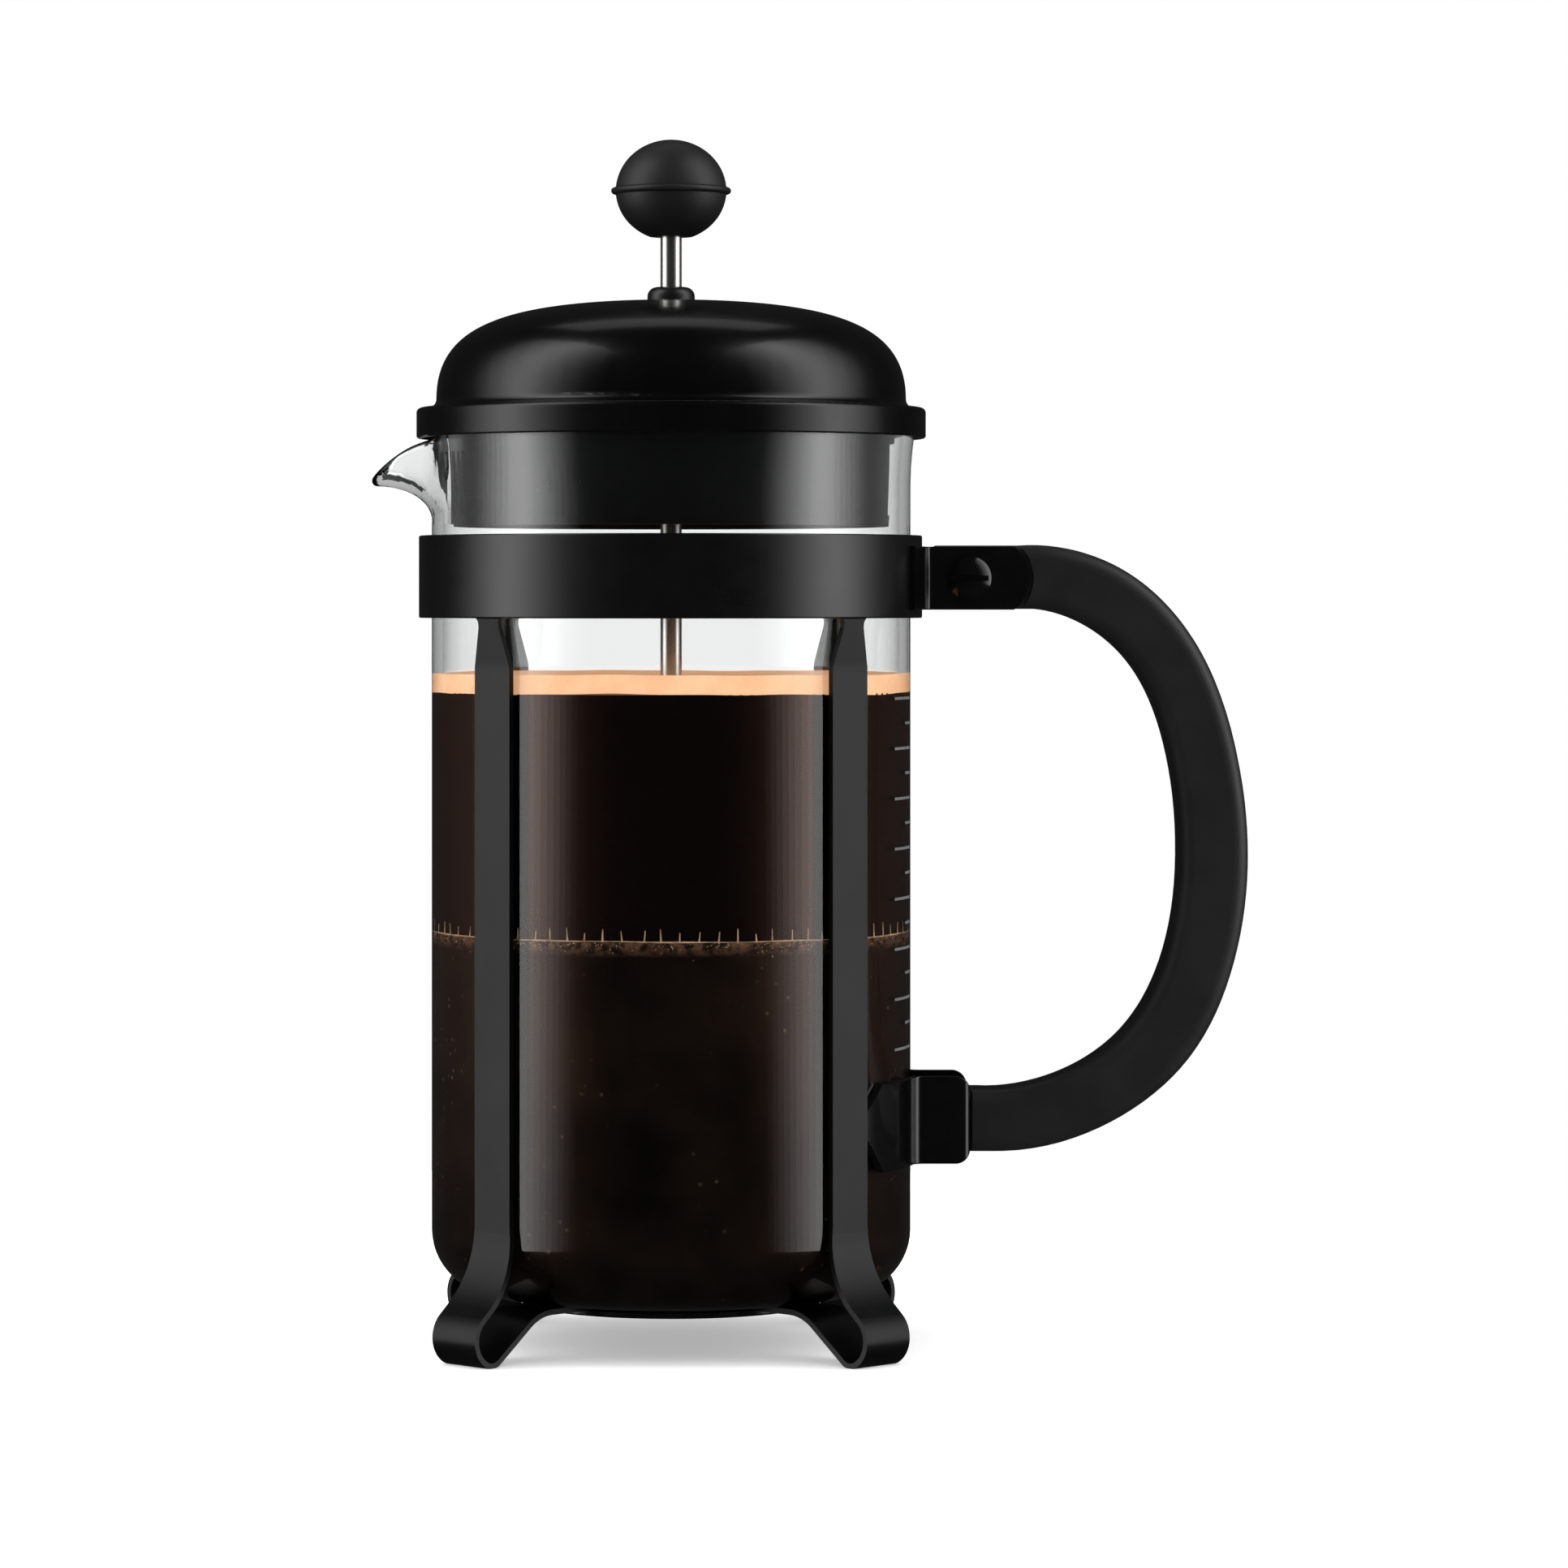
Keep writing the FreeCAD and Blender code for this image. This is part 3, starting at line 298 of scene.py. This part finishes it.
paint = black_paint("frame_paint", 0.3)
leg_paint = black_paint("leg_paint", 0.34, 0.22)
gloss_paint = black_paint("clip_paint", 0.17)
screw_finish = black_paint("screw_black", 0.14)
handle_plastic = moulded("handle_plastic", (0.0085, 0.0085, 0.0088), 0.5, 2600.0, 0.18)
knob_plastic = moulded("knob_plastic", (0.0075, 0.0075, 0.008), 0.52, 2600.0, 0.16)
guide_plastic = moulded("guide_plastic", (0.006, 0.006, 0.0062), 0.36, 2000.0, 0.08)
lid_plastic = moulded("lid_plastic", (0.0012, 0.0012, 0.0013), 0.25, 700.0, 0.02,
                       Specular_IOR_Level=0.33, Coat_Weight=0.2, Coat_Roughness=0.1)
sleeve_plastic = moulded("strainer_plastic", (0.003, 0.003, 0.0032), 0.3, 1500.0, 0.01)
rod_steel = steel("rod_steel", (0.72, 0.71, 0.69), 0.26, (1.0, 1.0, 0.01), 2400.0, 0.05)
stamped_steel = steel("stamped_steel", (0.58, 0.57, 0.55), 0.28, (1.0, 0.02, 1.0), 1500.0, 0.08)
spring_steel = steel("spring_steel", (0.6, 0.59, 0.57), 0.22, (1.0, 1.0, 1.0), 2500.0, 0.05)
brass = steel("turned_brass", (0.72, 0.52, 0.22), 0.25, (1.0, 1.0, 0.05), 1800.0, 0.08)
glass = clear_glass()

NODE_LOOKS = {
    paint: ["frame_band", "base_disc"],
    leg_paint: ["leg_front_right", "leg_back_right", "leg_back_left", "leg_front_left"],
    gloss_paint: ["upper_bracket_front", "upper_bracket_back", "lower_clip_front",
                  "lower_clip_back"],
    screw_finish: ["handle_screw", "handle_washer", "handle_nut"],
    handle_plastic: ["handle"],
    knob_plastic: ["knob_cap", "knob_base"],
    guide_plastic: ["rod_guide", "guide_washer"],
    lid_plastic: ["lid_dome"],
    sleeve_plastic: ["lid_strainer"],
    rod_steel: ["plunger_rod"],
    stamped_steel: ["guide_clip", "rod_collar", "spiral_plate", "mesh_eyelet", "cross_plate",
                    "cross_plate_hub"],
    spring_steel: ["filter_spring"],
    woven_mesh(): ["mesh_screen"],
    brass: ["knob_insert"],
    glass: ["glass_beaker"],
}
for look, names in NODE_LOOKS.items():
    for name in names:
        nodes[name].data.materials.clear()
        nodes[name].data.materials.append(look)


# ------------------------------------------------------------------ meshes

def new_piece(name, mesh, look, body):
    piece = bpy.data.objects.new(name, mesh)
    bpy.context.scene.collection.objects.link(piece)
    mesh.materials.clear()
    mesh.materials.append(look)
    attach(piece, body)
    return piece


def mesh_from(name, points, faces, smooth=True):
    mesh = bpy.data.meshes.new(name)
    mesh.from_pydata(points, [], faces)
    shape = bmesh.new()
    shape.from_mesh(mesh)
    bmesh.ops.remove_doubles(shape, verts=shape.verts, dist=1e-7)
    bmesh.ops.recalc_face_normals(shape, faces=shape.faces)
    shape.to_mesh(mesh)
    shape.free()
    mesh.polygons.foreach_set("use_smooth", [smooth] * len(mesh.polygons))
    return mesh


def on_wall(radius, angle, level):
    """A point at a distance from the beaker's axis, at an angle from +X."""
    return (AXIS_X + radius * math.cos(angle), radius * math.sin(angle), level)


def revolved(name, profile, segments, wobble=None):
    """A closed surface of revolution. The profile starts and ends on the axis.
    wobble(angle, radius, height) gives a small change of height."""
    points, faces = [], []
    rows = profile[1:-1]
    for i in range(segments):
        angle = 2.0 * math.pi * i / segments
        for radius, level in rows:
            lift = wobble(angle, radius, level) if wobble else 0.0
            points.append(on_wall(radius, angle, level + lift))
    count = len(rows)
    for i in range(segments):
        here, after = i * count, (i + 1) % segments * count
        for j in range(count - 1):
            faces.append((here + j, after + j, after + j + 1, here + j + 1))
    start, end = len(points), len(points) + 1
    points += [on_wall(0.0, 0.0, profile[0][1]), on_wall(0.0, 0.0, profile[-1][1])]
    for i in range(segments):
        here, after = i * count, (i + 1) % segments * count
        faces.append((start, after, here))
        faces.append((end, here + count - 1, after + count - 1))
    mesh = mesh_from(name, points, faces)
    mesh.set_sharp_from_angle(angle=math.radians(35.0))
    return mesh


def line_of(start, end, steps):
    return [(start[0] + (end[0] - start[0]) * i / steps, start[1] + (end[1] - start[1]) * i / steps)
            for i in range(steps + 1)]


def waves(angle):
    """A gentle unevenness round the beaker, the same at both ends of the turn."""
    return (math.sin(3.0 * angle + 0.4) + 0.6 * math.sin(7.0 * angle + 2.0)
            + 0.4 * math.sin(17.0 * angle + 1.0))


coffee_looks = {"bed": coffee_bed(), "brew": brewed_coffee(), "crema": crema(), "husk": husk()}


def coffee_layers():
    """Grounds, coffee and foam, one on top of the other, against the inside of the glass."""
    radius = INNER + WETTING
    floor = FLOOR - WETTING
    corner_steps = 10
    corner = []
    for i in range(corner_steps + 1):
        turn = math.pi / 2.0 * i / corner_steps
        corner.append((radius - CORNER + CORNER * math.sin(turn),
                       floor + CORNER - CORNER * math.cos(turn)))
    bed = ([(0.0, floor)] + line_of((4.0 * MM, floor), (radius - CORNER, floor), 4)[:-1] + corner
           + [(radius, BED_LEVEL), (2.0 * MM, BED_LEVEL), (0.0, BED_LEVEL)])
    brew = [(0.0, BED_LEVEL), (2.0 * MM, BED_LEVEL), (radius, BED_LEVEL), (radius, CREMA_LOW),
            (2.0 * MM, CREMA_LOW), (0.0, CREMA_LOW)]
    creep = 0.7 * MM          # the foam clings to the glass a little higher than its middle
    top = [(radius, CREMA_TOP)]
    rise = ((0.985, 0.55), (0.96, 0.8), (0.9, 0.95), (0.7, 1.0), (0.4, 1.0), (0.1, 1.0))
    for radius_share, drop in rise:
        top.append((radius * radius_share, CREMA_TOP - creep * drop))
    foam = ([(0.0, CREMA_LOW), (2.0 * MM, CREMA_LOW), (radius, CREMA_LOW)] + top
            + [(0.0, CREMA_TOP - creep)])

    def foam_edge(angle, at_radius, level):
        share = 0.16 * MM if level < CREMA_LOW + 0.1 * MM else 0.09 * MM
        return share * waves(angle) * at_radius / radius

    new_piece("coffee_bed", revolved("coffee_bed", bed, 128), coffee_looks["bed"],
              "beaker")
    new_piece("coffee_brew", revolved("coffee_brew", brew, 128), coffee_looks["brew"],
              "beaker")
    new_piece("coffee_crema", revolved("coffee_crema", foam, 160, foam_edge), coffee_looks["crema"],
              "beaker")


def box_between(points, faces, corners):
    """Adds a closed box given by its four lower and four upper corners."""
    base = len(points)
    points.extend(corners)
    for face in ((0, 3, 2, 1), (4, 5, 6, 7), (0, 1, 5, 4), (1, 2, 6, 5), (2, 3, 7, 6), (3, 0, 4, 7)):
        faces.append(tuple(base + i for i in face))


def filter_line():
    """A thin uneven line at the top of the grounds, with fine fibres standing on it."""
    rng = random.Random(7)
    inner, outer = INNER - 0.3 * MM, INNER + 3.0 * WETTING
    points, faces = [], []
    steps = 360
    for i in range(steps):
        corners = []
        for lift in (-1.0, 1.0):
            for radius, k in ((inner, i), (outer, i), (outer, i + 1), (inner, i + 1)):
                angle = 2.0 * math.pi * (k % steps) / steps
                thick = (0.11 + 0.05 * math.sin(11.0 * angle)) * MM
                level = BED_LEVEL + 0.08 * MM * waves(angle) + lift * thick
                corners.append(on_wall(radius, angle, level))
        box_between(points, faces, corners)
    count = 78
    for i in range(count):
        angle = 2.0 * math.pi * (i + rng.uniform(-0.12, 0.12)) / count
        tall = rng.uniform(1.5, 2.7) * MM
        half = rng.uniform(0.15, 0.22) * MM / INNER
        lean = rng.uniform(-0.25, 0.25) * MM / INNER
        low, high = BED_LEVEL, BED_LEVEL + tall
        corners = []
        for level, width, shift in ((low, half, 0.0), (high, half * 0.35, lean)):
            for radius, side in ((inner, -1.0), (outer, -1.0), (outer, 1.0), (inner, 1.0)):
                corners.append(on_wall(radius, angle + shift + side * width, level))
        box_between(points, faces, corners)
    crumb_count = 420
    for i in range(crumb_count):
        angle = rng.uniform(0.0, 2.0 * math.pi)
        depth = abs(rng.gauss(0.0, 1.1)) * MM
        size = rng.uniform(0.08, 0.24) * MM
        turn = rng.uniform(0.0, math.pi)
        level = BED_LEVEL - 0.15 * MM - depth
        corners = []
        for radius in (inner, outer):
            for corner in range(4):
                spin = turn + corner * math.pi / 2.0
                reach = size * (1.0 if corner % 2 else 0.6)
                corners.append(on_wall(radius, angle + reach * math.cos(spin) / INNER,
                                       level + reach * math.sin(spin)))
        box_between(points, faces, corners)
    mesh = mesh_from("filter_line", points, faces, smooth=False)
    new_piece("filter_line", mesh, coffee_looks["husk"], "beaker")


def level_marks():
    """A plain scale of short and long lines printed on the outside of the glass."""
    low, high, step = 60.0 * MM, 130.0 * MM, 5.0 * MM
    near, long_end, short_end = math.radians(-8.0), math.radians(-23.0), math.radians(-14.5)
    tall, thick = 0.55 * MM, 0.04 * MM
    pieces = 8
    points, faces = [], []
    number = 0
    level = low
    while level < high + step / 2.0:
        far = long_end if number % 2 == 0 else short_end
        for part in range(pieces):
            first = near + (far - near) * part / pieces
            last = near + (far - near) * (part + 1) / pieces
            corners = []
            for z in (level, level + tall):
                for radius, angle in ((OUTER, first), (OUTER + thick, first),
                                      (OUTER + thick, last), (OUTER, last)):
                    corners.append(on_wall(radius, angle, z))
            box_between(points, faces, corners)
        level += step
        number += 1
    mesh = mesh_from("level_marks", points, faces, smooth=False)
    new_piece("level_marks", mesh, printed_grey(), "beaker")


def filter_coil():
    """The closed coil of fine wire that runs round the filter's edge."""
    low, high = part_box("filter_spring")
    wire = 0.35 * MM
    coil = (high.z - low.z) / 2.0
    ring = high.x - AXIS_X - coil
    middle = (high.z + low.z) / 2.0
    turns, per_turn = 84, 12
    curve = bpy.data.curves.new("filter_coil_path", "CURVE")
    curve.dimensions = "3D"
    curve.bevel_depth = wire
    curve.bevel_resolution = 2
    path = curve.splines.new("POLY")
    path.points.add(turns * per_turn - 1)
    for i, point in enumerate(path.points):
        around = 2.0 * math.pi * i / (turns * per_turn)
        twist = 2.0 * math.pi * i / per_turn
        radius = ring + (coil - wire) * math.cos(twist)
        level = middle + (coil - wire) * math.sin(twist)
        point.co = (*on_wall(radius, around, level), 1.0)
    path.use_cyclic_u = True
    holder = bpy.data.objects.new("filter_coil_path", curve)
    bpy.context.scene.collection.objects.link(holder)
    bpy.context.view_layer.update()
    mesh = bpy.data.meshes.new_from_object(holder)
    bpy.data.objects.remove(holder)
    mesh.polygons.foreach_set("use_smooth", [True] * len(mesh.polygons))
    piece = new_piece("filter_coil", mesh, spring_steel, "plunger")
    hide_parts("filter_spring")


coffee_layers()
filter_line()
level_marks()
filter_coil()


# ------------------------------------------------------------------ studio

def studio_world():
    """White where it is looked at, also through glass, soft as a light, and dark in reflections."""
    seen, fill, reflected, backdrop_light = 1.0, 0.85, 0.02, 0.5
    world = bpy.data.worlds.new("studio")
    bpy.context.scene.world = world
    world.cycles.sampling_method = "NONE"
    world.use_nodes = True
    tree = world.node_tree
    tree.nodes.clear()
    output = tree.nodes.new("ShaderNodeOutputWorld")
    rays = tree.nodes.new("ShaderNodeLightPath")
    last = None
    for brightness, depth in ((seen, None), (fill, "Diffuse Depth"), (reflected, "Glossy Depth")):
        shade = tree.nodes.new("ShaderNodeBackground")
        shade.inputs["Color"].default_value = WHITE
        shade.inputs["Strength"].default_value = brightness
        if last is None:
            last = shade.outputs["Background"]
            continue
        bounced = tree.nodes.new("ShaderNodeMath")
        bounced.operation = "GREATER_THAN"
        bounced.inputs[1].default_value = 0.5
        tree.links.new(rays.outputs[depth], bounced.inputs[0])
        mix = tree.nodes.new("ShaderNodeMixShader")
        tree.links.new(bounced.outputs["Value"], mix.inputs["Fac"])
        tree.links.new(last, mix.inputs[1])
        tree.links.new(shade.outputs["Background"], mix.inputs[2])
        last = mix.outputs["Shader"]
    # Light that turns back once inside the glass sees the white backdrop behind the press, so that
    # the spout stays clear. Generated coordinates in a world are the direction looked in.
    toward = tree.nodes.new("ShaderNodeTexCoord")
    split = tree.nodes.new("ShaderNodeSeparateXYZ")
    tree.links.new(toward.outputs["Generated"], split.inputs["Vector"])
    backdrop = tree.nodes.new("ShaderNodeMapRange")
    for socket, number in (("From Min", -0.2), ("From Max", 0.2),
                           ("To Min", reflected), ("To Max", backdrop_light)):
        backdrop.inputs[socket].default_value = number
    tree.links.new(split.outputs["Y"], backdrop.inputs["Value"])
    inside = tree.nodes.new("ShaderNodeMath")
    inside.operation = "COMPARE"
    inside.inputs[1].default_value, inside.inputs[2].default_value = 2.0, 0.5
    tree.links.new(rays.outputs["Transmission Depth"], inside.inputs[0])
    turned = tree.nodes.new("ShaderNodeMapRange")
    turned.inputs["To Min"].default_value = reflected
    tree.links.new(backdrop.outputs["Result"], turned.inputs["To Max"])
    tree.links.new(inside.outputs["Value"], turned.inputs["Value"])
    tree.links.new(turned.outputs["Result"], shade.inputs["Strength"])
    tree.links.new(last, output.inputs["Surface"])


def softbox(name, azimuth, distance, height, width, tall, radiance, aim):
    """A soft rectangular light. Azimuth 0 stands at the camera's side of the press."""
    light = bpy.data.lights.new(name, "AREA")
    light.shape = "RECTANGLE"
    light.size, light.size_y = width, tall
    light.energy = radiance * math.pi * width * tall
    lamp = bpy.data.objects.new(name, light)
    bpy.context.scene.collection.objects.link(lamp)
    angle = math.radians(azimuth)
    lamp.location = (AXIS_X + distance * math.sin(angle), -distance * math.cos(angle), height)
    lamp.rotation_mode = "QUATERNION"
    lamp.rotation_quaternion = (Vector(aim) - lamp.location).to_track_quat("-Z", "Y")
    lamp.visible_camera = False


def studio_floor():
    """A pale round table top with a painted glow, weaker under the press as a painted shadow and
    white at its rim, painted black and without glow in reflections.
    """
    look = Look("studio_floor", (0.93, 0.93, 0.93), 0.8, Specular_IOR_Level=0.0)
    distance = look.node("ShaderNodeVectorMath", {}, operation="LENGTH")
    look.link(look.coords.outputs["Object"], distance.inputs[0])
    # Painted light: the floor's emission rises from 0.35 near the press to 0.5 at its rim, which
    # paints a shadow under the press.
    painted_floor_glow = look.spread(distance.outputs["Value"], FLOOR_SHADE, FLOOR_REACH, 0.35, 0.5)
    rays = look.node("ShaderNodeLightPath")
    direct = look.maths("LESS_THAN", rays.outputs["Glossy Depth"], 0.5)
    painted_floor_glow = look.maths("MULTIPLY", painted_floor_glow, direct)
    # The floor is painted black, and its glow switched off, where it is seen in a reflection.
    look.paint(look.blend(direct, (0.0, 0.0, 0.0), (0.93, 0.93, 0.93)))
    look.link(painted_floor_glow, look.shader.inputs["Emission Strength"])
    look.shader.inputs["Emission Color"].default_value = WHITE
    segments = 96
    turns = [2.0 * math.pi * i / segments for i in range(segments)]
    points = [(FLOOR_REACH * math.cos(t), FLOOR_REACH * math.sin(t), 0.0) for t in turns]
    mesh = mesh_from("studio_floor", points, [tuple(range(segments))], smooth=False)
    mesh.materials.append(look.material)
    floor = bpy.data.objects.new("studio_floor", mesh)
    floor.location = (AXIS_X, 0.0, 0.0)
    floor.visible_glossy = False
    bpy.context.scene.collection.objects.link(floor)


def camera():
    data = bpy.data.cameras.new("camera")
    data.sensor_width = 36.0
    data.lens = 135.0
    data.shift_x, data.shift_y = 0.072, -0.117
    data.clip_start, data.clip_end = 0.05, 200.0
    holder = bpy.data.objects.new("camera", data)
    bpy.context.scene.collection.objects.link(holder)
    holder.location = (AXIS_X, *CAMERA_PLACE)
    holder.rotation_euler = (math.radians(90.0), 0.0, 0.0)
    bpy.context.scene.camera = holder


def side_lights(aim):
    """Each is a nest of panels, brightest in the middle, so that its reflection fades out."""
    gap = 0.01
    for side, azimuth in (("left", -SIDE_AZIMUTH), ("right", SIDE_AZIMUTH)):
        for panel in range(PANELS):
            width = 0.3 + 0.22 * panel
            radiance = 0.56 * (1.0 - panel / PANELS)
            softbox(f"{side}_softbox_{panel}", azimuth, SIDE_DISTANCE + gap * panel, SIDE_HEIGHT,
                    width, SIDE_TALL, radiance, aim)


studio_world()
aim = (AXIS_X, 0.0, AIM_HEIGHT)
side_lights(aim)
softbox("top_softbox", azimuth=180.0, distance=0.7, height=1.5, width=1.0, tall=0.5,
        radiance=0.5, aim=aim)
studio_floor()
camera()
bpy.context.scene.view_settings.view_transform = "Standard"
